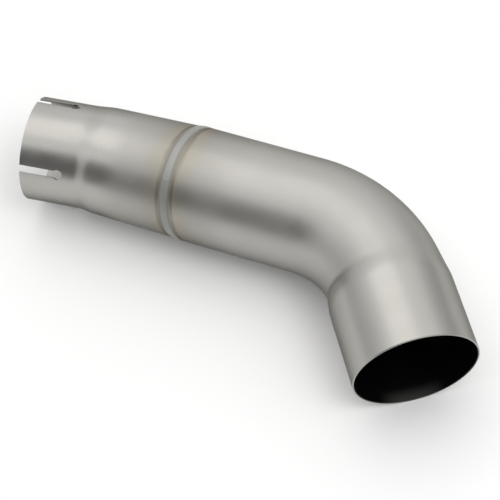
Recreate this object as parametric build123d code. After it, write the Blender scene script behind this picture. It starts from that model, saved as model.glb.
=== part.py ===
from build123d import *
from math import cos, radians, sin, tan
import os

# Exhaust link pipe in thin titanium tube
# It carries the gas of a motorbike from its header to the silencer. A slotted sleeve slips over the
# header and is clamped there, a shoulder and a long cone open it to the tube's diameter, and one weld
# bead joins it to the bent tube, whose mouth is opened once more as a socket for the next pipe.
# Frame: millimetres, origin at the centre of the inlet mouth, +X along the sleeve into the pipe,
# the bend in the XY plane and towards -Y, +Z up. The pipe lies on its side, as it comes to rest.

# Driving sizes of the tube
tube_outer_diameter = 65.0
wall = 1.0
straight_length = 67.0
bend_radius = 66.5
bend_angle = 56.2

# Driving sizes of the inlet
sleeve_outer_diameter = 59.0
sleeve_length = 32.0
shoulder_length = 7.5
shoulder_rise = 1.1
shoulder_angle = 4.8
cone_length = 55.0
cone_end_inset = 0.2

# Driving sizes of the clamping slots, keyholes spaced evenly round the sleeve
slot_count = 4
slot_width = 4.4
slot_hole_diameter = 6.0
slot_hole_distance = 22.0
first_slot_angle = 60.0

# Driving sizes of the weld
# The tubes meet at a slight angle on a seam that leans off the square section: forwards on the outside
# of the bend and backwards on the top.
weld_angle = 1.5
weld_width = 5.4
weld_rise = 0.3
weld_lean_side = 7.1
weld_lean_top = -11.4

# Driving sizes of the outlet socket
socket_clearance = 0.5
flare_length = 7.0
socket_length = 45.0
rim_break = 0.3

# Sizes that follow
tube_radius = tube_outer_diameter / 2
sleeve_radius = sleeve_outer_diameter / 2
cone_start_radius = sleeve_radius + shoulder_rise
cone_end_radius = tube_radius - cone_end_inset
cone_slope = (cone_end_radius - cone_start_radius) / cone_length
socket_radius = tube_radius + socket_clearance + wall
shoulder_section_count = 4
flare_section_count = 4
bead_section_count = 5
seam_reach = tube_radius * (abs(tan(radians(weld_lean_side))) + abs(tan(radians(weld_lean_top)))) + weld_width


class Place:
    """A point of the centreline in the bend plane, with its heading in degrees towards -Y."""

    def __init__(self, x, y, heading):
        self.x = x
        self.y = y
        self.heading = heading

    def across(self):
        """Section plane, with its normal along the travel."""
        along = (cos(radians(self.heading)), -sin(radians(self.heading)), 0)
        return Plane(origin=(self.x, self.y, 0), x_dir=(0, 0, 1), z_dir=along)

    def after(self, length, turn=0.0):
        """Place reached by a run of this length that turns by this angle."""
        start = radians(self.heading)
        if turn == 0:
            return Place(self.x + length * cos(start), self.y - length * sin(start), self.heading)
        radius = length / radians(turn)
        end = start + radians(turn)
        return Place(
            self.x + radius * (sin(end) - sin(start)),
            self.y + radius * (cos(end) - cos(start)),
            self.heading + turn,
        )

    def turned(self, turn):
        """The same point with its heading changed by this angle."""
        return Place(self.x, self.y, self.heading + turn)


# Places along the centreline
mouth = Place(0, 0, 0)
shoulder_start = mouth.after(sleeve_length)
cone_start = shoulder_start.after(shoulder_length, shoulder_angle)
weld_place = cone_start.after(cone_length)
tube_start = weld_place.turned(weld_angle)
bend_start = tube_start.after(straight_length)
bend_end = bend_start.after(bend_radius * radians(bend_angle), bend_angle)
outlet = bend_end.after(flare_length + socket_length)


def level_step(share):
    """Rise from 0 to 1 that starts and ends level."""
    return share * share * (3 - 2 * share)


def easing_step(share):
    """Rise from 0 to 1 that starts with a crease and ends level."""
    return share * (2 - share)


def straight_run(place, length, radius):
    """Round bar along the travel."""
    return extrude(place.across() * Circle(radius), amount=length)


def bent_run(place, turn, centreline_radius, radius):
    """Round bar along an arc of the bend plane."""
    heading = radians(place.heading)
    centre = (place.x - centreline_radius * sin(heading), place.y - centreline_radius * cos(heading), 0)
    return revolve(place.across() * Circle(radius), axis=Axis(centre, (0, 0, -1)), revolution_arc=turn)


def swelling_sections(place, length, turn, radius_from, radius_to, step, count):
    """Round sections of a run that may turn gently and changes its radius on the way."""
    sections = []
    for index in range(count):
        share = index / (count - 1)
        radius = radius_from + (radius_to - radius_from) * step(share)
        sections.append(place.after(length * share, turn * share).across() * Circle(radius))
    return sections


def sleeve_bar(grow):
    """Straight sleeve and soft shoulder as a bar, each radius changed by grow."""
    low = sleeve_radius + grow
    high = cone_start_radius + grow
    sections = swelling_sections(
        shoulder_start, shoulder_length, shoulder_angle, low, high, level_step, shoulder_section_count
    )
    return straight_run(mouth, sleeve_length, low) + loft(sections)


def cone_bar(grow):
    """The long cone as a bar, carried on past the seam."""
    length = cone_length + seam_reach
    start_radius = cone_start_radius + grow
    end_radius = start_radius + cone_slope * length
    standing = (Align.CENTER, Align.CENTER, Align.MIN)
    return cone_start.across() * Cone(start_radius, end_radius, length, align=standing)


def straight_bar(grow):
    """Straight tube as a bar, begun before the seam."""
    return straight_run(tube_start.after(-seam_reach), seam_reach + straight_length, tube_radius + grow)


def socket_bar(grow):
    """Flare and outlet socket as a bar."""
    tube = tube_radius + grow
    socket = socket_radius + grow
    sections = swelling_sections(bend_end, flare_length, 0, tube, socket, easing_step, flare_section_count)
    return loft(sections, ruled=True) + straight_run(bend_end.after(flare_length), socket_length, socket)


def tube_bar(grow):
    """Straight tube, bend, flare and socket as one bar."""
    bend = bent_run(bend_start, bend_angle, bend_radius, tube_radius + grow)
    return straight_bar(grow) + bend + socket_bar(grow)


def seam_plane(offset):
    """Leaning plane across the pipe at the weld, moved along its normal."""
    section = weld_place.across()
    left = Vector(0, 0, 1).cross(section.z_dir)
    lean = left * tan(radians(weld_lean_side)) + Vector(0, 0, 1) * tan(radians(weld_lean_top))
    normal = section.z_dir - lean
    return Plane(origin=section.origin, x_dir=left.cross(normal), z_dir=normal).offset(offset)


def seam_section(share, grow):
    """Section at this share of the bead's half width: the cone's before the seam, the tube's from it on."""
    bar = cone_bar(grow) if share < 0 else straight_bar(grow)
    return section(bar, section_by=seam_plane(share * weld_width / 2))


def slot_cutter():
    """Keyholes: a slit from the mouth that ends in a round hole, repeated round the sleeve."""
    reach = sleeve_radius + wall
    slit = Plane.XY * Pos(slot_hole_distance / 2, 0) * Rectangle(slot_hole_distance, slot_width)
    hole = Plane.XY * Pos(slot_hole_distance, 0) * Circle(slot_hole_diameter / 2)
    keyhole = extrude(slit + hole, amount=reach)
    pitch = 360 / slot_count
    return [Rot(first_slot_angle - 90 + pitch * index, 0, 0) * keyhole for index in range(slot_count)]


def inlet_sleeve():
    """Slotted sleeve, shoulder and cone up to the weld."""
    pipe = (sleeve_bar(0) + cone_bar(0)) - (sleeve_bar(-wall) + cone_bar(-wall))
    pipe = split(pipe, bisect_by=seam_plane(-weld_width / 2), keep=Keep.BOTTOM)
    return pipe - slot_cutter()


def weld_bead():
    """Ring of weld metal between the two pieces, flush at its toes and crowned between them."""
    sections = []
    for index in range(bead_section_count):
        share = 2 * index / (bead_section_count - 1) - 1
        sections.append(seam_section(share, weld_rise * (1 - share * share)))
    roots = [seam_section(-1, -wall), seam_section(1, -wall)]
    return loft(sections, ruled=True) - loft(roots)


def bend_tube():
    """Straight tube, bend, flare and outlet socket in one piece."""
    pipe = split(tube_bar(0) - tube_bar(-wall), bisect_by=seam_plane(weld_width / 2), keep=Keep.TOP)
    rim = pipe.edges().filter_by(GeomType.CIRCLE).filter_by(
        lambda edge: (edge.arc_center - outlet.across().origin).length < rim_break
    )
    return chamfer(rim.sort_by(SortBy.RADIUS)[-1], length=rim_break)


os.makedirs("parts", exist_ok=True)
export_step(inlet_sleeve(), "parts/inlet_sleeve.step")
export_step(weld_bead(), "parts/weld_bead.step")
export_step(bend_tube(), "parts/bend_tube.step")
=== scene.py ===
"""Looks of the exhaust link pipe.

A thin bead-blasted titanium pipe lies on its side on a white studio floor. Its slotted inlet sleeve, its
weld and its bent tube each start as one ring of points that is drawn along the centreline. The sheet pieces
are then given their wall, their slots and their broken edges.
"""

import logging
import math
from contextlib import contextmanager
from dataclasses import dataclass, field
from enum import Enum
from typing import Iterator, Sequence

import bpy
from bpy.types import NodeSocket
from mathutils import Matrix, Vector


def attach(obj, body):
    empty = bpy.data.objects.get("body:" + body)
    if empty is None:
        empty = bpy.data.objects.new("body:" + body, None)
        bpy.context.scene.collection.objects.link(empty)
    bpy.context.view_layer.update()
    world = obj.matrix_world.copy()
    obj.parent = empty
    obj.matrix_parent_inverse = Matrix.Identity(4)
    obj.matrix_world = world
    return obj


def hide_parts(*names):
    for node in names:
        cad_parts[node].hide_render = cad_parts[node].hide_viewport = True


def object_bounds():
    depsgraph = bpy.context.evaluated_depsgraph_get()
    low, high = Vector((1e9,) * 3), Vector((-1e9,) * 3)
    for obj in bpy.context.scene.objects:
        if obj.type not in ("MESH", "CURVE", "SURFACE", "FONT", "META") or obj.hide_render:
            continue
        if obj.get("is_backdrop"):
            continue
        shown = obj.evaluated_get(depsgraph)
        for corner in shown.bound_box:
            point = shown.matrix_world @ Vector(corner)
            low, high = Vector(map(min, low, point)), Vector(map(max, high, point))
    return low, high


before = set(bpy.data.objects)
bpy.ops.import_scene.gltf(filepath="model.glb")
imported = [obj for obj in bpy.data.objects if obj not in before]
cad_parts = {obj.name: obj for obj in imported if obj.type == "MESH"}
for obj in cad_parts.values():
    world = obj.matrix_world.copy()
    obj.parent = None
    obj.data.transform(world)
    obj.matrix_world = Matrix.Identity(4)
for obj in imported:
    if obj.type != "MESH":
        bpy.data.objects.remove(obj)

log = logging.getLogger("link_pipe")

Pair = tuple[float, float]
Triple = tuple[float, float, float]
Colour = tuple[float, float, float, float]

MM = 0.001
BODY = "root"

# Angles between two faces, in degrees
# An edge is broken from the first on, and shaded smooth up to the second.
SHARP_FROM = 50.0
SMOOTH_UP_TO = 32.0

# Levels between which a noise mostly stays
NOISE_LOW = 0.3
NOISE_HIGH = 0.7


# Centreline


@dataclass(frozen=True)
class Place:
    """A point of the centreline in the bend plane, in metres, with its heading in degrees towards -Y."""

    x: float
    y: float
    heading: float

    @property
    def point(self) -> Vector:
        """The point itself."""
        return Vector((self.x, self.y, 0.0))

    @property
    def along(self) -> Vector:
        """Direction of the travel."""
        return Vector((math.cos(math.radians(self.heading)), -math.sin(math.radians(self.heading)), 0.0))

    @property
    def left(self) -> Vector:
        """Direction across the travel, towards the outside of the bend."""
        return Vector((0.0, 0.0, 1.0)).cross(self.along)

    def after(self, length: float, turn: float = 0.0) -> "Place":
        """Follow the centreline.

        Args:
            length: Length of the run in metres.
            turn: Angle in degrees that the run turns by.

        Returns:
            The place at the end of the run.
        """
        start = math.radians(self.heading)
        if turn == 0.0:
            return Place(self.x + length * math.cos(start), self.y - length * math.sin(start), self.heading)
        radius = length / math.radians(turn)
        end = start + math.radians(turn)
        return Place(
            self.x + radius * (math.sin(end) - math.sin(start)),
            self.y + radius * (math.cos(end) - math.cos(start)),
            self.heading + turn,
        )

    def turned(self, turn: float) -> "Place":
        """The same point with its heading changed by this angle."""
        return Place(self.x, self.y, self.heading + turn)


@dataclass(frozen=True)
class PipeSizes:
    """Driving sizes of the pipe in metres and degrees, as in the CAD source."""

    tube_radius: float = 32.5 * MM
    wall: float = 1.0 * MM
    straight_length: float = 67.0 * MM
    bend_radius: float = 66.5 * MM
    bend_angle: float = 56.2
    sleeve_radius: float = 29.5 * MM
    sleeve_length: float = 32.0 * MM
    shoulder_length: float = 7.5 * MM
    shoulder_rise: float = 1.1 * MM
    shoulder_angle: float = 4.8
    cone_length: float = 55.0 * MM
    cone_end_inset: float = 0.2 * MM
    weld_angle: float = 1.5
    weld_width: float = 5.4 * MM
    weld_lean_side: float = 7.1
    weld_lean_top: float = -11.4
    socket_clearance: float = 0.5 * MM
    flare_length: float = 7.0 * MM
    socket_length: float = 45.0 * MM

    @property
    def cone_start_radius(self) -> float:
        """Radius where the shoulder ends and the cone starts."""
        return self.sleeve_radius + self.shoulder_rise

    @property
    def cone_end_radius(self) -> float:
        """Radius where the cone meets the tube at the seam."""
        return self.tube_radius - self.cone_end_inset

    @property
    def socket_radius(self) -> float:
        """Radius of the socket, whose bore has room for the next tube."""
        return self.tube_radius + self.socket_clearance + self.wall

    @property
    def shoulder_start(self) -> Place:
        """End of the straight sleeve."""
        return Place(0.0, 0.0, 0.0).after(self.sleeve_length)

    @property
    def cone_start(self) -> Place:
        """End of the shoulder."""
        return self.shoulder_start.after(self.shoulder_length, self.shoulder_angle)

    @property
    def weld_place(self) -> Place:
        """Centre of the seam, with the heading of the cone."""
        return self.cone_start.after(self.cone_length)

    @property
    def tube_start(self) -> Place:
        """Centre of the seam, with the heading of the tube."""
        return self.weld_place.turned(self.weld_angle)

    @property
    def bend_start(self) -> Place:
        """End of the straight tube."""
        return self.tube_start.after(self.straight_length)

    @property
    def bend_end(self) -> Place:
        """End of the bend, where the socket's crease is."""
        return self.bend_start.after(self.bend_radius * math.radians(self.bend_angle), self.bend_angle)

    @property
    def outlet(self) -> Place:
        """Centre of the outlet's mouth."""
        return self.bend_end.after(self.flare_length + self.socket_length)

    @property
    def seam_reach(self) -> float:
        """How far along the travel the leaning seam reaches to each side of its centre."""
        leans = math.tan(math.radians(self.weld_lean_side)) + math.tan(math.radians(-self.weld_lean_top))
        return self.tube_radius * leans + self.weld_width

    @property
    def seam_normal(self) -> Vector:
        """Lean the section at the weld to the side and to the top.

        Returns:
            The unit normal of the seam, along the travel.
        """
        place = self.weld_place
        lean_side = place.left * math.tan(math.radians(self.weld_lean_side))
        lean_top = Vector((0.0, 0.0, math.tan(math.radians(self.weld_lean_top))))
        return (place.along - lean_side - lean_top).normalized()

    def seam_point(self, offset: float) -> Vector:
        """Point of the seam's axis, moved this far along its normal."""
        return self.weld_place.point + self.seam_normal * offset


# Tools of the bench


class Side(Enum):
    """Which side of a cut is kept."""

    BEFORE = "before"
    AFTER = "after"
    CUT_LINE = "cut_line"


class Joining(Enum):
    """What a tool does to a piece, by the name that the Boolean modifier has for it."""

    ADD = "UNION"
    TAKE_AWAY = "DIFFERENCE"


@dataclass(frozen=True)
class Ring:
    """A round section of the pipe."""

    place: Place
    radius: float


def soft_step(value: float, low: float, high: float) -> float:
    """Grow from 0 to 1 between two values, level at both ends.

    Args:
        value: Where the growth is wanted.
        low: Value where it starts.
        high: Value where it ends.

    Returns:
        The growth, held at 0 before the start and at 1 past the end.
    """
    share = min(1.0, max(0.0, (value - low) / (high - low)))
    return share * share * (3 - 2 * share)


def select_only(piece: bpy.types.Object) -> None:
    """Select one object and make it the active one.

    Args:
        piece: Object to select.
    """
    bpy.ops.object.select_all(action="DESELECT")
    piece.select_set(True)
    bpy.context.view_layer.objects.active = piece


@contextmanager
def edit_mode(piece: bpy.types.Object) -> Iterator[None]:
    """Edit one object.

    Args:
        piece: Object to edit.

    Returns:
        A context that is in edit mode on this object alone and leaves it at the end.
    """
    select_only(piece)
    bpy.ops.object.mode_set(mode="EDIT")
    try:
        yield
    finally:
        bpy.ops.object.mode_set(mode="OBJECT")


def extrude_to(before: Ring, ring: Ring) -> None:
    """Extrude the selected ring of points to the next section.

    Args:
        before: Section that is selected.
        ring: Section to reach.
    """
    move = ring.place.point - before.place.point
    bpy.ops.mesh.extrude_region_move(TRANSFORM_OT_translate={"value": move})
    turn = math.radians(ring.place.heading - before.place.heading)
    if turn:
        bpy.ops.transform.rotate(
            value=turn, orient_axis="Z", orient_type="GLOBAL", center_override=ring.place.point
        )
    growth = ring.radius / before.radius
    bpy.ops.transform.resize(value=(growth, growth, growth), center_override=ring.place.point)


def draw_tube(
    name: str, rings: Sequence[Ring], segments: int, materials: Sequence[bpy.types.Material]
) -> bpy.types.Object:
    """Draw a circle along the centreline.

    Args:
        name: Name of the new piece.
        rings: Sections in the order of the travel.
        segments: Points on each section.
        materials: Finishes of the piece, that of the outside first.

    Returns:
        The open skin through all sections, with its faces outward.
    """
    first = rings[0]
    bpy.ops.object.select_all(action="DESELECT")
    bpy.ops.mesh.primitive_circle_add(
        vertices=segments,
        radius=first.radius,
        location=first.place.point,
        rotation=(0.0, math.pi / 2, -math.radians(first.place.heading)),
    )
    piece = bpy.context.object
    piece.name = name
    for material in materials:
        piece.data.materials.append(material)
    with edit_mode(piece):
        bpy.ops.mesh.select_all(action="SELECT")
        for before, ring in zip(rings, rings[1:]):
            extrude_to(before, ring)
        bpy.ops.mesh.select_all(action="SELECT")
        bpy.ops.mesh.normals_make_consistent(inside=False)
    settle(piece)
    return piece


def settle(piece: bpy.types.Object) -> None:
    """Put the object at the origin, unturned and unscaled, with its place in its mesh."""
    select_only(piece)
    bpy.ops.object.transform_apply(location=True, rotation=True, scale=True)


def cut_along(piece: bpy.types.Object, point: Vector, normal: Vector, keep: Side) -> None:
    """Cut a piece by a plane.

    Args:
        piece: Piece to cut.
        point: Point of the plane.
        normal: Normal of the plane, along the travel.
        keep: Part that stays.
    """
    with edit_mode(piece):
        bpy.ops.mesh.select_all(action="SELECT")
        bpy.ops.mesh.bisect(
            plane_co=point,
            plane_no=normal,
            clear_inner=keep is not Side.BEFORE,
            clear_outer=keep is not Side.AFTER,
        )


def thicken(piece: bpy.types.Object, wall: float) -> None:
    """Give a skin its wall inward, with the bore in the next material and the cut edges in the one after.

    Args:
        piece: Open skin with its faces outward.
        wall: Wall in metres.
    """
    shell = piece.modifiers.new("wall", "SOLIDIFY")
    shell.thickness = wall
    shell.offset = -1.0
    shell.use_even_offset = True
    shell.material_offset = 1
    shell.material_offset_rim = 2
    apply_modifier(piece, shell)


def break_edges(piece: bpy.types.Object, width: float, sizes: PipeSizes) -> None:
    """Break the sharp edges of a piece, apart from those that the weld covers.

    Args:
        piece: Piece with its wall and cut-outs.
        width: Width of the broken edge in metres.
        sizes: Sizes of the pipe, for the place of the seam.
    """
    with edit_mode(piece):
        bpy.ops.mesh.select_mode(type="EDGE")
        bpy.ops.mesh.select_all(action="DESELECT")
        bpy.ops.mesh.edges_select_sharp(sharpness=math.radians(SHARP_FROM))
    points = piece.data.vertices
    for edge in piece.data.edges:
        middle = (points[edge.vertices[0]].co + points[edge.vertices[1]].co) / 2
        if abs((middle - sizes.weld_place.point).dot(sizes.seam_normal)) < sizes.weld_width:
            edge.select = False
    with edit_mode(piece):
        bpy.ops.mesh.bevel(offset=width, segments=1, affect="EDGES", clamp_overlap=True)
        bpy.ops.mesh.select_mode(type="VERT")


def apply_modifier(piece: bpy.types.Object, modifier: bpy.types.Modifier) -> None:
    """Apply one modifier for good."""
    select_only(piece)
    bpy.ops.object.modifier_apply(modifier=modifier.name)


def combine(piece: bpy.types.Object, tool: bpy.types.Object, joining: Joining) -> None:
    """Join a tool to a piece or take it away, and drop the tool.

    Args:
        piece: Piece that changes.
        tool: Piece that is used up.
        joining: What the tool does.
    """
    boolean = piece.modifiers.new("tool", "BOOLEAN")
    boolean.operation = joining.value
    boolean.solver = "EXACT"
    boolean.object = tool
    apply_modifier(piece, boolean)
    bpy.data.objects.remove(tool)


def smooth(piece: bpy.types.Object) -> None:
    """Shade the round faces smooth and keep the edges crisp."""
    select_only(piece)
    bpy.ops.object.shade_smooth_by_angle(angle=math.radians(SMOOTH_UP_TO))


# Finishes


def soft_span(
    tree: bpy.types.NodeTree, value: NodeSocket, low: float, high: float, to_low: float, to_high: float
) -> NodeSocket:
    """Map a value from one span to another, softly at both ends.

    Args:
        tree: Node tree of the material or of the world.
        value: Value to map.
        low: Start of its span.
        high: End of its span.
        to_low: Result up to the start.
        to_high: Result from the end on.

    Returns:
        The mapped value.
    """
    node = tree.nodes.new("ShaderNodeMapRange")
    node.interpolation_type = "SMOOTHSTEP"
    tree.links.new(value, node.inputs["Value"])
    for socket, number in zip(list(node.inputs)[1:5], (low, high, to_low, to_high)):
        socket.default_value = number
    return node.outputs["Result"]


class Board:
    """Node tree of one material, with short calls for the nodes that the finishes use."""

    def __init__(self, name: str) -> None:
        """Start an empty material with a shader and an output.

        Args:
            name: Name of the material.
        """
        self.material = bpy.data.materials.new(name)
        self.material.use_nodes = True
        self.tree = self.material.node_tree
        self.tree.nodes.clear()
        self.output = self.tree.nodes.new("ShaderNodeOutputMaterial")
        self.shader = self.tree.nodes.new("ShaderNodeBsdfPrincipled")
        self.tree.links.new(self.shader.outputs["BSDF"], self.output.inputs["Surface"])
        self.place = self.tree.nodes.new("ShaderNodeTexCoord").outputs["Object"]

    def link(self, source: NodeSocket | float | Colour, target: NodeSocket) -> None:
        """Feed an input.

        Args:
            source: Socket that feeds it, or a plain value that it is set to.
            target: The input.
        """
        if isinstance(source, NodeSocket):
            self.tree.links.new(source, target)
        else:
            target.default_value = source

    def math(self, operation: str, *values: NodeSocket | float) -> NodeSocket:
        """Add a Math node.

        Args:
            operation: Its operation.
            values: Sockets or numbers that it works on.

        Returns:
            Its result.
        """
        node = self.tree.nodes.new("ShaderNodeMath")
        node.operation = operation
        for value, target in zip(values, node.inputs):
            self.link(value, target)
        return node.outputs[0]

    def distance_along(self, origin: Vector, direction: Vector) -> NodeSocket:
        """Measure how far each point lies along a direction.

        Args:
            origin: Point to measure from.
            direction: Unit vector to measure along.

        Returns:
            The distance in metres.
        """
        move = self.tree.nodes.new("ShaderNodeVectorMath")
        move.operation = "SUBTRACT"
        self.link(self.place, move.inputs[0])
        move.inputs[1].default_value = origin
        dot = self.tree.nodes.new("ShaderNodeVectorMath")
        dot.operation = "DOT_PRODUCT"
        self.link(move.outputs[0], dot.inputs[0])
        dot.inputs[1].default_value = direction
        return dot.outputs["Value"]

    def noise(self, scale: float, detail: float) -> NodeSocket:
        """Add a noise.

        Args:
            scale: Cells in a metre.
            detail: Number of finer layers.

        Returns:
            The noise, from 0 to 1.
        """
        node = self.tree.nodes.new("ShaderNodeTexNoise")
        self.link(self.place, node.inputs["Vector"])
        node.inputs["Scale"].default_value = scale
        node.inputs["Detail"].default_value = detail
        return node.outputs["Fac"]

    def span(
        self, value: NodeSocket, low: float, high: float, to_low: float = 0.0, to_high: float = 1.0
    ) -> NodeSocket:
        """Map a value softly, as soft_span does, from 0 to 1 if nothing else is said."""
        return soft_span(self.tree, value, low, high, to_low, to_high)

    def bump_of(self, value: NodeSocket, low: float, middle: float, high: float) -> NodeSocket:
        """Raise a soft hump.

        Args:
            value: Value to map.
            low: Where the hump starts.
            middle: Where it is 1.
            high: Where it ends.

        Returns:
            The hump, 0 outside it.
        """
        rise = self.span(value, low, middle)
        fall = self.span(value, middle, high, 1.0, 0.0)
        return self.math("MULTIPLY", rise, fall)

    def mix(
        self, share: NodeSocket | float, first: NodeSocket | Colour, second: NodeSocket | Colour
    ) -> NodeSocket:
        """Mix two colours.

        Args:
            share: Share of the second one.
            first: Colour or socket.
            second: Colour or socket.

        Returns:
            The mixed colour.
        """
        node = self.tree.nodes.new("ShaderNodeMix")
        node.data_type = "RGBA"
        self.link(share, node.inputs["Factor"])
        self.link(first, node.inputs["A"])
        self.link(second, node.inputs["B"])
        return node.outputs["Result"]

    def relief(self, height: NodeSocket, depth: float) -> None:
        """Give the surface a relief.

        Args:
            height: Height from 0 to 1.
            depth: Depth of the relief in metres.
        """
        bump = self.tree.nodes.new("ShaderNodeBump")
        bump.inputs["Distance"].default_value = depth
        bump.inputs["Strength"].default_value = 1.0
        self.link(height, bump.inputs["Height"])
        self.link(bump.outputs["Normal"], self.shader.inputs["Normal"])


def grey(level: float) -> Colour:
    """A neutral colour of this level."""
    return (level, level, level, 1.0)


@dataclass(frozen=True)
class BlastedTitanium:
    """Satin bead-blasted titanium, tinted and dulled by heat beside the weld.

    A reach is a distance from the middle of the weld, a change is where along the pipe the roughness
    changes, and a scale is the cells of a noise in a metre.
    """

    sizes: PipeSizes
    colour: Colour = (0.430, 0.424, 0.402, 1.0)
    cloudy: Colour = (0.416, 0.408, 0.382, 1.0)
    dull: Colour = (0.362, 0.355, 0.332, 1.0)
    straw: Colour = (0.358, 0.336, 0.292, 1.0)
    brown: Colour = (0.220, 0.204, 0.172, 1.0)
    edge_tint: Colour = (0.32, 0.32, 0.31, 1.0)
    cloud_scale: float = 28.0
    cloud_span: Pair = (0.35, 0.7)
    cloud_share: float = 0.6
    raggedness: float = 1.5 * MM
    dull_reach: Pair = (6.0 * MM, 42.0 * MM)
    straw_reach: Pair = (5.0 * MM, 18.0 * MM)
    toe_reach: Pair = (3.2 * MM, 6.6 * MM)
    toe_share: float = 0.75
    line_reach: Triple = (3.0 * MM, 4.2 * MM, 5.6 * MM)
    line_scale: float = 45.0
    line_span: Pair = (0.30, 0.60)
    line_least: float = 0.3
    sleeve_roughness: float = 0.28
    cone_roughness: float = 0.42
    tube_roughness: float = 0.40
    socket_roughness: float = 0.31
    cone_change: Pair = (8.0 * MM, 22.0 * MM)
    tube_change: Pair = (0.0, 6.0 * MM)
    socket_change: Pair = (-8.0 * MM, 12.0 * MM)
    smudge_scale: float = 60.0
    smudge_roughness: Pair = (-0.02, 0.03)
    grain_scale: float = 900.0
    grain_depth: float = 0.0012 * MM

    def make(self) -> bpy.types.Material:
        """Build the material.

        Returns:
            The finished material.
        """
        board = Board("blasted_titanium")
        board.shader.inputs["Metallic"].default_value = 1.0
        board.shader.inputs["Specular Tint"].default_value = self.edge_tint
        seam = board.distance_along(self.sizes.weld_place.point, self.sizes.seam_normal)
        board.link(self.tinted(board, seam), board.shader.inputs["Base Color"])
        smudge = board.noise(self.smudge_scale, detail=4.0)
        smudged = board.span(smudge, NOISE_LOW, NOISE_HIGH, *self.smudge_roughness)
        board.link(board.math("ADD", smudged, self.blasting(board, seam)), board.shader.inputs["Roughness"])
        board.relief(board.noise(self.grain_scale, detail=2.0), self.grain_depth)
        return board.material

    def tinted(self, board: Board, seam: NodeSocket) -> NodeSocket:
        """Colour the metal: faint clouds, dulled far round the weld, straw and brown close to it.

        Args:
            board: Board of the material.
            seam: Distance from the middle of the weld, along the travel.

        Returns:
            The colour.
        """
        reach = board.math("ABSOLUTE", seam)
        cloud = board.noise(self.cloud_scale, detail=3.0)
        rag = board.span(cloud, NOISE_LOW, NOISE_HIGH, -self.raggedness, self.raggedness)
        ragged = board.math("ADD", reach, rag)
        clouded = board.math("MULTIPLY", board.span(cloud, *self.cloud_span), self.cloud_share)
        plain = board.mix(clouded, self.colour, self.cloudy)
        dulled = board.mix(board.span(reach, *self.dull_reach, 1.0, 0.0), plain, self.dull)
        straw = board.mix(board.span(ragged, *self.straw_reach, 1.0, 0.0), dulled, self.straw)
        toe = board.span(ragged, *self.toe_reach, self.toe_share, 0.0)
        patchy = board.span(board.noise(self.line_scale, detail=2.0), *self.line_span, self.line_least, 1.0)
        line = board.math("MULTIPLY", board.bump_of(reach, *self.line_reach), patchy)
        return board.mix(board.math("MAXIMUM", toe, line), straw, self.brown)

    def blasting(self, board: Board, seam: NodeSocket) -> NodeSocket:
        """Set the roughness along the pipe: smoothest on the sleeve and the socket, dullest on the cone.

        Args:
            board: Board of the material.
            seam: Distance from the middle of the weld, along the travel.

        Returns:
            The roughness.
        """
        sizes = self.sizes
        past_shoulder = board.distance_along(sizes.cone_start.point, sizes.cone_start.along)
        cone = board.span(past_shoulder, *self.cone_change, self.sleeve_roughness, self.cone_roughness)
        tube = board.span(seam, *self.tube_change, 0.0, self.tube_roughness - self.cone_roughness)
        past_bend = board.distance_along(sizes.bend_end.point, sizes.bend_end.along)
        socket = board.span(past_bend, *self.socket_change, 0.0, self.socket_roughness - self.tube_roughness)
        return board.math("ADD", board.math("ADD", cone, tube), socket)


@dataclass(frozen=True)
class Bore:
    """The inside: bare metal near the inlet's mouth, then painted shade that turns near black further along
    X, with a painted sheen low in the outlet's lip.
    """

    sizes: PipeSizes
    metal: Colour = (0.420, 0.416, 0.392, 1.0)
    shade_black: Colour = (0.0004, 0.0004, 0.0004, 1.0)
    shade_fleck: Colour = (0.0016, 0.0015, 0.0014, 1.0)
    lip_sheen_colour: Colour = (0.050, 0.049, 0.047, 1.0)
    shade_start: float = 32.0 * MM
    shade_full: float = 75.0 * MM
    raggedness: float = 3.0 * MM
    ragged_scale: float = 60.0
    shade_fleck_scale: float = 220.0
    metal_roughness: float = 0.50
    shade_roughness: float = 0.34
    bore_specular: float = 0.30
    grain_scale: float = 900.0
    grain_depth: float = 0.01 * MM
    lip_sheen_depth: float = 9.0 * MM
    lip_sheen_low: float = 0.8

    def make(self) -> bpy.types.Material:
        """Build the material.

        Returns:
            The finished material.
        """
        board = Board("bore")
        depth = board.distance_along(Vector(), Vector((1.0, 0.0, 0.0)))
        blot = board.noise(self.ragged_scale, detail=3.0)
        rag = board.span(blot, NOISE_LOW, NOISE_HIGH, -self.raggedness, self.raggedness)
        # Painted shade: the bore goes from bare metal to near black further along X, with a ragged edge and
        # faint flecks.
        shade_share = board.span(board.math("ADD", depth, rag), self.shade_start, self.shade_full)
        shade_and_sheen = board.mix(board.noise(self.shade_fleck_scale, detail=5.0), self.shade_black, self.shade_fleck)
        # Painted sheen: a lighter patch on the bottom of the bore near the outlet's mouth.
        shade_and_sheen = board.mix(self.lip_sheen(board), shade_and_sheen, self.lip_sheen_colour)
        board.link(board.mix(shade_share, self.metal, shade_and_sheen), board.shader.inputs["Base Color"])
        board.link(board.math("SUBTRACT", 1.0, shade_share), board.shader.inputs["Metallic"])
        roughness = board.span(shade_share, 0.0, 1.0, self.metal_roughness, self.shade_roughness)
        board.link(roughness, board.shader.inputs["Roughness"])
        board.shader.inputs["Specular IOR Level"].default_value = self.bore_specular
        board.relief(board.noise(self.grain_scale, detail=3.0), self.grain_depth)
        return board.material

    def lip_sheen(self, board: Board) -> NodeSocket:
        """Paint a sheen on the bottom of the socket's bore, close to its mouth.

        Args:
            board: Board of the material.

        Returns:
            The share of the painted sheen.
        """
        outlet = self.sizes.outlet
        inward = board.distance_along(outlet.point, -outlet.along)
        height = board.distance_along(Vector(), Vector((0.0, 0.0, 1.0)))
        near = board.span(inward, 0.0, self.lip_sheen_depth, 1.0, 0.0)
        bottom = -self.sizes.socket_radius
        low = board.span(height, bottom, self.lip_sheen_low * bottom, 1.0, 0.0)
        return board.math("MULTIPLY", near, low)


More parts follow.
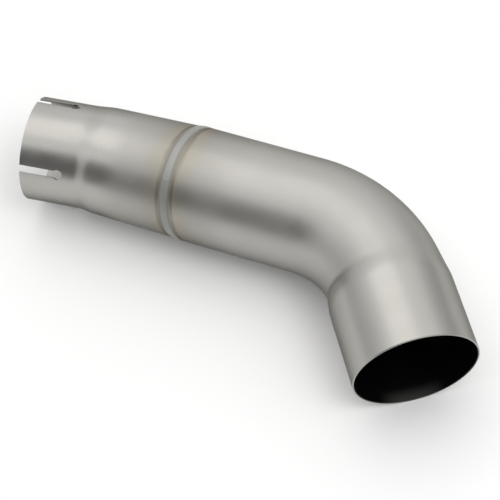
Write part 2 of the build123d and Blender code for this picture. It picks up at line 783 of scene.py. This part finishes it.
@dataclass(frozen=True)
class CutEdge:
    """Sawn and broken edge of the sheet."""

    colour: Colour = (0.400, 0.398, 0.380, 1.0)
    scuffed: Colour = (0.330, 0.328, 0.312, 1.0)
    roughness: float = 0.30
    scuff_scale: float = 700.0
    grain_scale: float = 1500.0
    grain_depth: float = 0.01 * MM

    def make(self) -> bpy.types.Material:
        """Build the material.

        Returns:
            The finished material.
        """
        board = Board("cut_edge")
        board.shader.inputs["Metallic"].default_value = 1.0
        board.shader.inputs["Roughness"].default_value = self.roughness
        scuffs = board.noise(self.scuff_scale, detail=3.0)
        board.link(board.mix(scuffs, self.colour, self.scuffed), board.shader.inputs["Base Color"])
        board.relief(board.noise(self.grain_scale, detail=2.0), self.grain_depth)
        return board.material


@dataclass(frozen=True)
class WeldMetal:
    """Weld metal with fine ripples and dark toes, with painted shade past a set angle round the pipe and a
    painted dark line along its edge.

    The ripples bow back from the middle of the weld by ripple_bow times the square of the distance from it.
    """

    sizes: PipeSizes
    colour: Colour = (0.348, 0.350, 0.336, 1.0)
    bead_shade: Colour = (0.318, 0.320, 0.305, 1.0)
    burnt: Colour = (0.250, 0.238, 0.212, 1.0)
    roughness: float = 0.55
    toe_reach: Pair = (1.1 * MM, 2.7 * MM)
    shade_edge_angle: float = 127.0
    shade_edge_blur: float = 0.2 * MM
    shade_edge_line: Triple = (-0.1 * MM, 0.25 * MM, 0.6 * MM)
    shade_edge_share: float = 0.6
    ripple_pitch: float = 1.5 * MM
    ripple_bow: float = 0.25 / MM
    ripple_depth: float = 0.03 * MM
    uneven_scale: float = 220.0
    uneven_span: Pair = (0.35, 0.65)

    def make(self) -> bpy.types.Material:
        """Build the material.

        Returns:
            The finished material.
        """
        sizes = self.sizes
        board = Board("bead_metal")
        board.shader.inputs["Metallic"].default_value = 1.0
        board.shader.inputs["Roughness"].default_value = self.roughness
        seam = board.distance_along(sizes.weld_place.point, sizes.seam_normal)
        reach = board.math("ABSOLUTE", seam)
        bow = board.math("MULTIPLY", board.math("POWER", reach, 2.0), self.ripple_bow)
        travel = board.math("ADD", self.way_around(board), bow)
        # Painted shade: past a set angle round the pipe the bead is darker, with a darker painted line along
        # that edge.
        start = math.radians(self.shade_edge_angle) * sizes.tube_radius
        past_shade_edge = board.span(travel, start - self.shade_edge_blur, start + self.shade_edge_blur)
        metal = board.mix(past_shade_edge, self.colour, self.bead_shade)
        line = board.bump_of(travel, *(start + offset for offset in self.shade_edge_line))
        toe = board.span(reach, *self.toe_reach)
        toe_and_painted_line = board.math("MAXIMUM", toe, board.math("MULTIPLY", line, self.shade_edge_share))
        board.link(board.mix(toe_and_painted_line, metal, self.burnt), board.shader.inputs["Base Color"])
        ripple = board.math("SINE", board.math("MULTIPLY", travel, 2 * math.pi / self.ripple_pitch))
        uneven = board.span(board.noise(self.uneven_scale, detail=3.0), *self.uneven_span)
        board.relief(board.math("MULTIPLY", ripple, uneven), self.ripple_depth)
        return board.material

    def way_around(self, board: Board) -> NodeSocket:
        """Measure round the pipe, from the outside of the bend over the top.

        Args:
            board: Board of the material.

        Returns:
            The length in metres.
        """
        place = self.sizes.weld_place
        side = board.distance_along(place.point, place.left)
        height = board.distance_along(place.point, Vector((0.0, 0.0, 1.0)))
        return board.math("MULTIPLY", board.math("ARCTAN2", height, side), self.sizes.tube_radius)


# Pieces


@dataclass
class InletSleeve:
    """Slotted sleeve, shoulder and cone up to the weld.

    The cone's sections crowd towards the shoulder by the power cone_crowding. A slot's angle is counted from
    the outside of the bend over the top, where the cutter is made at cutter_angle. The round part of the
    cutter is slot_hole_share as high as the slit, so that no two of their faces lie in one plane.
    """

    sizes: PipeSizes
    segments: int = 192
    slot_count: int = 4
    slot_width: float = 4.4 * MM
    slot_hole_radius: float = 3.0 * MM
    slot_hole_distance: float = 22.0 * MM
    slot_hole_points: int = 64
    slot_hole_share: float = 0.9
    first_slot_angle: float = 60.0
    cutter_angle: float = 90.0
    rise_start: float = 30.5 * MM
    rise_end: float = 42.0 * MM
    sleeve_steps: int = 24
    shoulder_steps: int = 12
    cone_steps: int = 24
    cone_crowding: float = 1.5
    edge_break: float = 0.15 * MM

    def rings(self) -> list[Ring]:
        """Line up the sections.

        Returns:
            The sections from the mouth past the seam.
        """
        sizes = self.sizes
        mouth = Place(0.0, 0.0, 0.0)
        rings = []
        for index in range(self.sleeve_steps + 1):
            reach = sizes.sleeve_length * index / self.sleeve_steps
            rings.append(Ring(mouth.after(reach), self.radius_at(reach)))
        for index in range(1, self.shoulder_steps + 1):
            share = index / self.shoulder_steps
            place = sizes.shoulder_start.after(sizes.shoulder_length * share, sizes.shoulder_angle * share)
            rings.append(Ring(place, self.radius_at(sizes.sleeve_length + sizes.shoulder_length * share)))
        for index in range(1, self.cone_steps + 1):
            reach = (sizes.cone_length + sizes.seam_reach) * (index / self.cone_steps) ** self.cone_crowding
            radius = self.radius_at(sizes.sleeve_length + sizes.shoulder_length + reach)
            rings.append(Ring(sizes.cone_start.after(reach), radius))
        return rings

    def radius_at(self, reach: float) -> float:
        """Size the sections: the sleeve, the softly risen shoulder, then the cone.

        Args:
            reach: Distance from the mouth along the centreline.

        Returns:
            The radius there.
        """
        sizes = self.sizes
        shoulder = sizes.shoulder_rise * soft_step(reach, self.rise_start, self.rise_end)
        slope = (sizes.cone_end_radius - sizes.cone_start_radius) / sizes.cone_length
        cone = slope * max(0.0, reach - sizes.sleeve_length - sizes.shoulder_length)
        return sizes.sleeve_radius + shoulder + cone

    def keyhole(self) -> bpy.types.Object:
        """Shape the cutter of one slot, a slit that ends in a round hole.

        Returns:
            The cutter, through the top of the sleeve.
        """
        height = self.sizes.sleeve_radius
        bpy.ops.object.select_all(action="DESELECT")
        bpy.ops.mesh.primitive_cube_add(
            size=1.0,
            location=(0, 0, height),
            scale=(2 * self.slot_hole_distance, self.slot_width, height),
        )
        slit = bpy.context.object
        settle(slit)
        bpy.ops.object.select_all(action="DESELECT")
        bpy.ops.mesh.primitive_cylinder_add(
            vertices=self.slot_hole_points,
            radius=self.slot_hole_radius,
            depth=self.slot_hole_share * height,
            location=(self.slot_hole_distance, 0, height),
        )
        hole = bpy.context.object
        settle(hole)
        combine(slit, hole, Joining.ADD)
        return slit

    def build(self, materials: Sequence[bpy.types.Material]) -> bpy.types.Object:
        """Form the piece.

        Args:
            materials: Finishes of the outside, of the bore and of the cut edges.

        Returns:
            The finished mesh object.
        """
        sizes = self.sizes
        piece = draw_tube("formed_inlet_sleeve", self.rings(), self.segments, materials)
        cut_along(piece, sizes.seam_point(-sizes.weld_width / 2), sizes.seam_normal, Side.BEFORE)
        thicken(piece, sizes.wall)
        keyhole = self.keyhole()
        for material in materials:
            keyhole.data.materials.append(material)
        for face in keyhole.data.polygons:
            face.material_index = len(materials) - 1
        for index in range(self.slot_count):
            angle = math.radians(self.first_slot_angle - self.cutter_angle + 360.0 / self.slot_count * index)
            cutter = keyhole.copy()
            cutter.data = keyhole.data.copy()
            bpy.context.collection.objects.link(cutter)
            cutter.data.transform(Matrix.Rotation(angle, 4, "X"))
            combine(piece, cutter, Joining.TAKE_AWAY)
        bpy.data.objects.remove(keyhole)
        break_edges(piece, self.edge_break, sizes)
        smooth(piece)
        return piece


@dataclass
class BendTube:
    """Straight tube, bend, flare and outlet socket."""

    sizes: PipeSizes
    segments: int = 192
    straight_steps: int = 4
    bend_steps: int = 72
    flare_steps: int = 16
    socket_steps: int = 4
    flare_start: float = -7.0 * MM
    flare_end: float = 9.0 * MM
    edge_break: float = 0.3 * MM

    def rings(self) -> list[Ring]:
        """Line up the sections.

        Returns:
            The sections from before the seam to the outlet's mouth.
        """
        sizes = self.sizes
        rings = []
        run = sizes.straight_length + sizes.seam_reach
        for index in range(self.straight_steps + 1):
            reach = run * (index / self.straight_steps) - sizes.seam_reach
            rings.append(Ring(sizes.tube_start.after(reach), sizes.tube_radius))
        for index in range(1, self.bend_steps + 1):
            turn = sizes.bend_angle * index / self.bend_steps
            reach = sizes.bend_radius * math.radians(turn)
            radius = self.flared(reach - sizes.bend_radius * math.radians(sizes.bend_angle))
            rings.append(Ring(sizes.bend_start.after(reach, turn), radius))
        flare = 2 * sizes.flare_length
        for index in range(1, self.flare_steps + 1):
            reach = flare * index / self.flare_steps
            rings.append(Ring(sizes.bend_end.after(reach), self.flared(reach)))
        left = sizes.socket_length - sizes.flare_length
        for index in range(1, self.socket_steps + 1):
            reach = flare + left * (index / self.socket_steps)
            rings.append(Ring(sizes.bend_end.after(reach), sizes.socket_radius))
        return rings

    def flared(self, reach: float) -> float:
        """Open the tube softly to the socket.

        Args:
            reach: Distance past the end of the bend.

        Returns:
            The radius there.
        """
        growth = soft_step(reach, self.flare_start, self.flare_end)
        return self.sizes.tube_radius + (self.sizes.socket_radius - self.sizes.tube_radius) * growth

    def build(self, materials: Sequence[bpy.types.Material]) -> bpy.types.Object:
        """Form the piece.

        Args:
            materials: Finishes of the outside, of the bore and of the cut edges.

        Returns:
            The finished mesh object.
        """
        sizes = self.sizes
        piece = draw_tube("formed_bend_tube", self.rings(), self.segments, materials)
        cut_along(piece, sizes.seam_point(sizes.weld_width / 2), sizes.seam_normal, Side.AFTER)
        thicken(piece, sizes.wall)
        break_edges(piece, self.edge_break, sizes)
        smooth(piece)
        return piece


@dataclass
class WeldBead:
    """Crowned ring of weld metal on the leaning seam, flush with the bore inside."""

    sizes: PipeSizes
    segments: int = 256
    rise: float = 0.3 * MM
    steps: int = 14
    merge_distance: float = 0.001 * MM

    def profile(self) -> list[Pair]:
        """Draw the section of the bead, over the crown and back along the bore.

        Returns:
            For each ring, its share of the half width and how far it stands out.
        """
        crown = []
        for index in range(self.steps + 1):
            share = 2 * index / self.steps - 1
            crown.append((share, self.rise * (1.0 - share * share)))
        wall = self.sizes.wall
        return [*crown, (1.0, -wall), (0.0, -wall), (-1.0, -wall), crown[0]]

    def build(self, materials: Sequence[bpy.types.Material]) -> bpy.types.Object:
        """Form the piece.

        Args:
            materials: Finishes of the outside and of the bore.

        Returns:
            The finished mesh object.
        """
        sizes = self.sizes
        middle = sizes.weld_place.turned(sizes.weld_angle / 2)
        radius = (sizes.tube_radius + sizes.cone_end_radius) / 2
        ends = [Ring(middle.after(reach), radius) for reach in (-2 * sizes.seam_reach, 2 * sizes.seam_reach)]
        piece = draw_tube("formed_weld_bead", ends, self.segments, materials)
        half = sizes.weld_width / 2
        cut_along(piece, sizes.seam_point(-half), sizes.seam_normal, Side.CUT_LINE)
        stride = middle.along * (half / sizes.seam_normal.dot(middle.along))
        with edit_mode(piece):
            bpy.ops.mesh.select_all(action="SELECT")
            profile = self.profile()
            for (before, low), (share, high) in zip(profile, profile[1:]):
                bpy.ops.mesh.extrude_region_move(TRANSFORM_OT_translate={"value": stride * (share - before)})
                growth = (radius + high) / (radius + low)
                centre = sizes.weld_place.point + stride * share
                bpy.ops.transform.resize(value=(growth, growth, growth), center_override=centre)
            bpy.ops.mesh.select_all(action="SELECT")
            bpy.ops.mesh.remove_doubles(threshold=self.merge_distance)
            bpy.ops.mesh.normals_make_consistent(inside=False)
        self.mark_bore(piece, middle, radius - sizes.wall / 2)
        smooth(piece)
        return piece

    def mark_bore(self, piece: bpy.types.Object, middle: Place, reach: float) -> None:
        """Give the inner faces the bore's finish.

        Args:
            piece: The bead.
            middle: Centre of the bead.
            reach: Distance from the axis that they lie within.
        """
        for face in piece.data.polygons:
            out = face.center - middle.point
            out -= middle.along * out.dot(middle.along)
            if out.length < reach:
                face.material_index = 1


# Studio


@dataclass(frozen=True)
class Viewpoint:
    """Camera at the photograph's angle, with its lens and its sensor in millimetres."""

    aim: Triple = (0.13535, -0.04100, 0.0)
    distance: float = 0.8116
    azimuth: float = -17.77
    elevation: float = 57.17
    roll: float = -4.42
    lens: float = 107.7
    sensor: float = 36.0

    def build(self) -> None:
        """Set up the camera as the scene's own."""
        camera = bpy.data.objects.new("camera", bpy.data.cameras.new("camera"))
        bpy.context.scene.collection.objects.link(camera)
        camera.data.lens = self.lens
        camera.data.sensor_width = self.sensor
        flat = math.cos(math.radians(self.elevation))
        view = Vector((
            flat * math.sin(math.radians(self.azimuth)),
            flat * math.cos(math.radians(self.azimuth)),
            -math.sin(math.radians(self.elevation)),
        ))
        camera.location = Vector(self.aim) - view * self.distance
        turn = view.to_track_quat("-Z", "Y").to_matrix() @ Matrix.Rotation(math.radians(self.roll), 3, "Z")
        camera.rotation_euler = turn.to_euler()
        bpy.context.scene.camera = camera


@dataclass(frozen=True)
class Lamp:
    """A square studio lamp: its direction from the pipe, its side in metres, its watts and its colour."""

    name: str
    way: Triple
    size: float
    power: float
    colour: Triple


@dataclass(frozen=True)
class Patch:
    """A dim or bright part of the room: its direction and its share of the light.

    It starts at its rim and is full in its core, both cosines of the angle from its direction.
    """

    way: Triple
    share: float
    rim: float
    core: float


@dataclass(frozen=True)
class Studio:
    """White floor under a broad soft light.

    The sky is a row of heights, from 0 at the horizon to 1 overhead, each with its level.
    """

    floor_level: float
    middle: Pair = (0.13, -0.04)
    floor_size: float = 16.0
    floor_white: float = 0.89
    lamps: tuple[Lamp, ...] = (
        Lamp("soft_box", (-0.25, 0.24, 0.93), 0.9, 1.35, (1.0, 0.95, 0.90)),
        Lamp("fill_light", (0.45, -0.22, 0.87), 0.5, 2.4, (1.0, 1.0, 1.0)),
    )
    lamp_distance: float = 1.2
    sky: tuple[Pair, ...] = (
        (0.0, 0.66),
        (0.15, 0.78),
        (0.33, 0.86),
        (0.55, 1.00),
        (0.70, 1.22),
        (0.84, 1.20),
        (1.0, 1.02),
    )
    patches: tuple[Patch, ...] = (
        Patch((-0.22, -0.87, 0.45), 0.14, 0.83, 0.965),
        Patch((-0.95, -0.20, 0.10), 0.85, 0.80, 0.97),
        Patch((0.75, 0.60, 0.10), 0.72, 0.75, 0.97),
        Patch((-0.15, 0.98, 0.05), 1.35, 0.80, 0.99),
    )

    def build(self) -> None:
        """Lay the floor, hang the lamps and light the room."""
        self.floor()
        for lamp in self.lamps:
            self.hang(lamp)
        self.room()

    def floor(self) -> None:
        """White floor that shows the shadow."""
        bpy.ops.object.select_all(action="DESELECT")
        bpy.ops.mesh.primitive_plane_add(size=self.floor_size, location=(*self.middle, self.floor_level))
        floor = bpy.context.object
        floor.name = "floor"
        settle(floor)
        board = Board("floor_white")
        board.shader.inputs["Base Color"].default_value = grey(self.floor_white)
        board.shader.inputs["Roughness"].default_value = 1.0
        board.shader.inputs["Specular IOR Level"].default_value = 0.0
        floor.data.materials.append(board.material)
        floor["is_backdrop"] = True

    def hang(self, lamp: Lamp) -> None:
        """Hang one square lamp that faces the pipe.

        Args:
            lamp: The lamp to hang.
        """
        light = bpy.data.objects.new(lamp.name, bpy.data.lights.new(lamp.name, "AREA"))
        bpy.context.scene.collection.objects.link(light)
        light.data.shape = "SQUARE"
        light.data.size = lamp.size
        light.data.energy = lamp.power
        light.data.color = lamp.colour
        way = Vector(lamp.way).normalized()
        light.location = Vector((*self.middle, 0.0)) + way * self.lamp_distance
        light.rotation_euler = (-way).to_track_quat("-Z", "Y").to_euler()

    def room(self) -> None:
        """Pale room, brightest overhead and dim low in front, on the camera's side."""
        world = bpy.context.scene.world or bpy.data.worlds.new("room")
        bpy.context.scene.world = world
        world.use_nodes = True
        tree = world.node_tree
        tree.nodes.clear()
        way = tree.nodes.new("ShaderNodeTexCoord").outputs["Generated"]
        split = tree.nodes.new("ShaderNodeSeparateXYZ")
        tree.links.new(way, split.inputs[0])
        ramp = tree.nodes.new("ShaderNodeValToRGB")
        tree.links.new(split.outputs["Z"], ramp.inputs["Fac"])
        stops = ramp.color_ramp.elements
        while len(stops) < len(self.sky):
            stops.new(0.5)
        for stop, (position, level) in zip(stops, self.sky):
            stop.position = position
            stop.color = grey(level)
        strength, *others = [self.patched(tree, way, patch) for patch in self.patches]
        for share in others:
            both = tree.nodes.new("ShaderNodeMath")
            both.operation = "MULTIPLY"
            tree.links.new(strength, both.inputs[0])
            tree.links.new(share, both.inputs[1])
            strength = both.outputs[0]
        light = tree.nodes.new("ShaderNodeBackground")
        tree.links.new(ramp.outputs["Color"], light.inputs["Color"])
        tree.links.new(strength, light.inputs["Strength"])
        output = tree.nodes.new("ShaderNodeOutputWorld")
        tree.links.new(light.outputs[0], output.inputs["Surface"])

    def patched(self, tree: bpy.types.NodeTree, way: NodeSocket, patch: Patch) -> NodeSocket:
        """Share of the light in each direction round one part of the room.

        Args:
            tree: Node tree of the world.
            way: Direction that is looked in.
            patch: The dim or bright part.

        Returns:
            1 outside it, changing softly to its own share in its core.
        """
        dot = tree.nodes.new("ShaderNodeVectorMath")
        dot.operation = "DOT_PRODUCT"
        tree.links.new(way, dot.inputs[0])
        dot.inputs[1].default_value = Vector(patch.way).normalized()
        return soft_span(tree, dot.outputs["Value"], patch.rim, patch.core, 1.0, patch.share)


# Assembly


@dataclass
class LinkPipe:
    """The whole pipe: its pieces, their finishes and the CAD nodes that they stand for."""

    sizes: PipeSizes = field(default_factory=PipeSizes)

    def build(self) -> None:
        """Build, dress and place each piece."""
        titanium = BlastedTitanium(self.sizes).make()
        bore = Bore(self.sizes).make()
        weld_metal = WeldMetal(self.sizes).make()
        edge = CutEdge().make()
        self.hand_over(InletSleeve(self.sizes).build((titanium, bore, edge)), "inlet_sleeve")
        self.hand_over(WeldBead(self.sizes).build((weld_metal, bore)), "weld_bead")
        self.hand_over(BendTube(self.sizes).build((titanium, bore, edge)), "bend_tube")

    def hand_over(self, piece: bpy.types.Object, node: str) -> None:
        """Let a finished piece stand for its CAD node.

        Args:
            piece: Finished mesh object.
            node: CAD node that it replaces.
        """
        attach(piece, BODY)
        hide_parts(node)
        corners = [Vector(corner) for corner in piece.bound_box]
        low = [round(min(corner[axis] for corner in corners), 4) for axis in range(3)]
        high = [round(max(corner[axis] for corner in corners), 4) for axis in range(3)]
        faces = len(piece.data.polygons)
        log.info("%s: %d faces, box %s %s, for node %s", piece.name, faces, low, high, node)


def main() -> None:
    """Build the pipe and the studio."""
    logging.basicConfig(level=logging.INFO, format="%(name)s %(message)s")
    cad_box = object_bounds()
    LinkPipe().build()
    Studio(floor_level=cad_box[0][2]).build()
    Viewpoint().build()
    bpy.context.scene.view_settings.view_transform = "Standard"


if __name__ == "__main__":
    main()
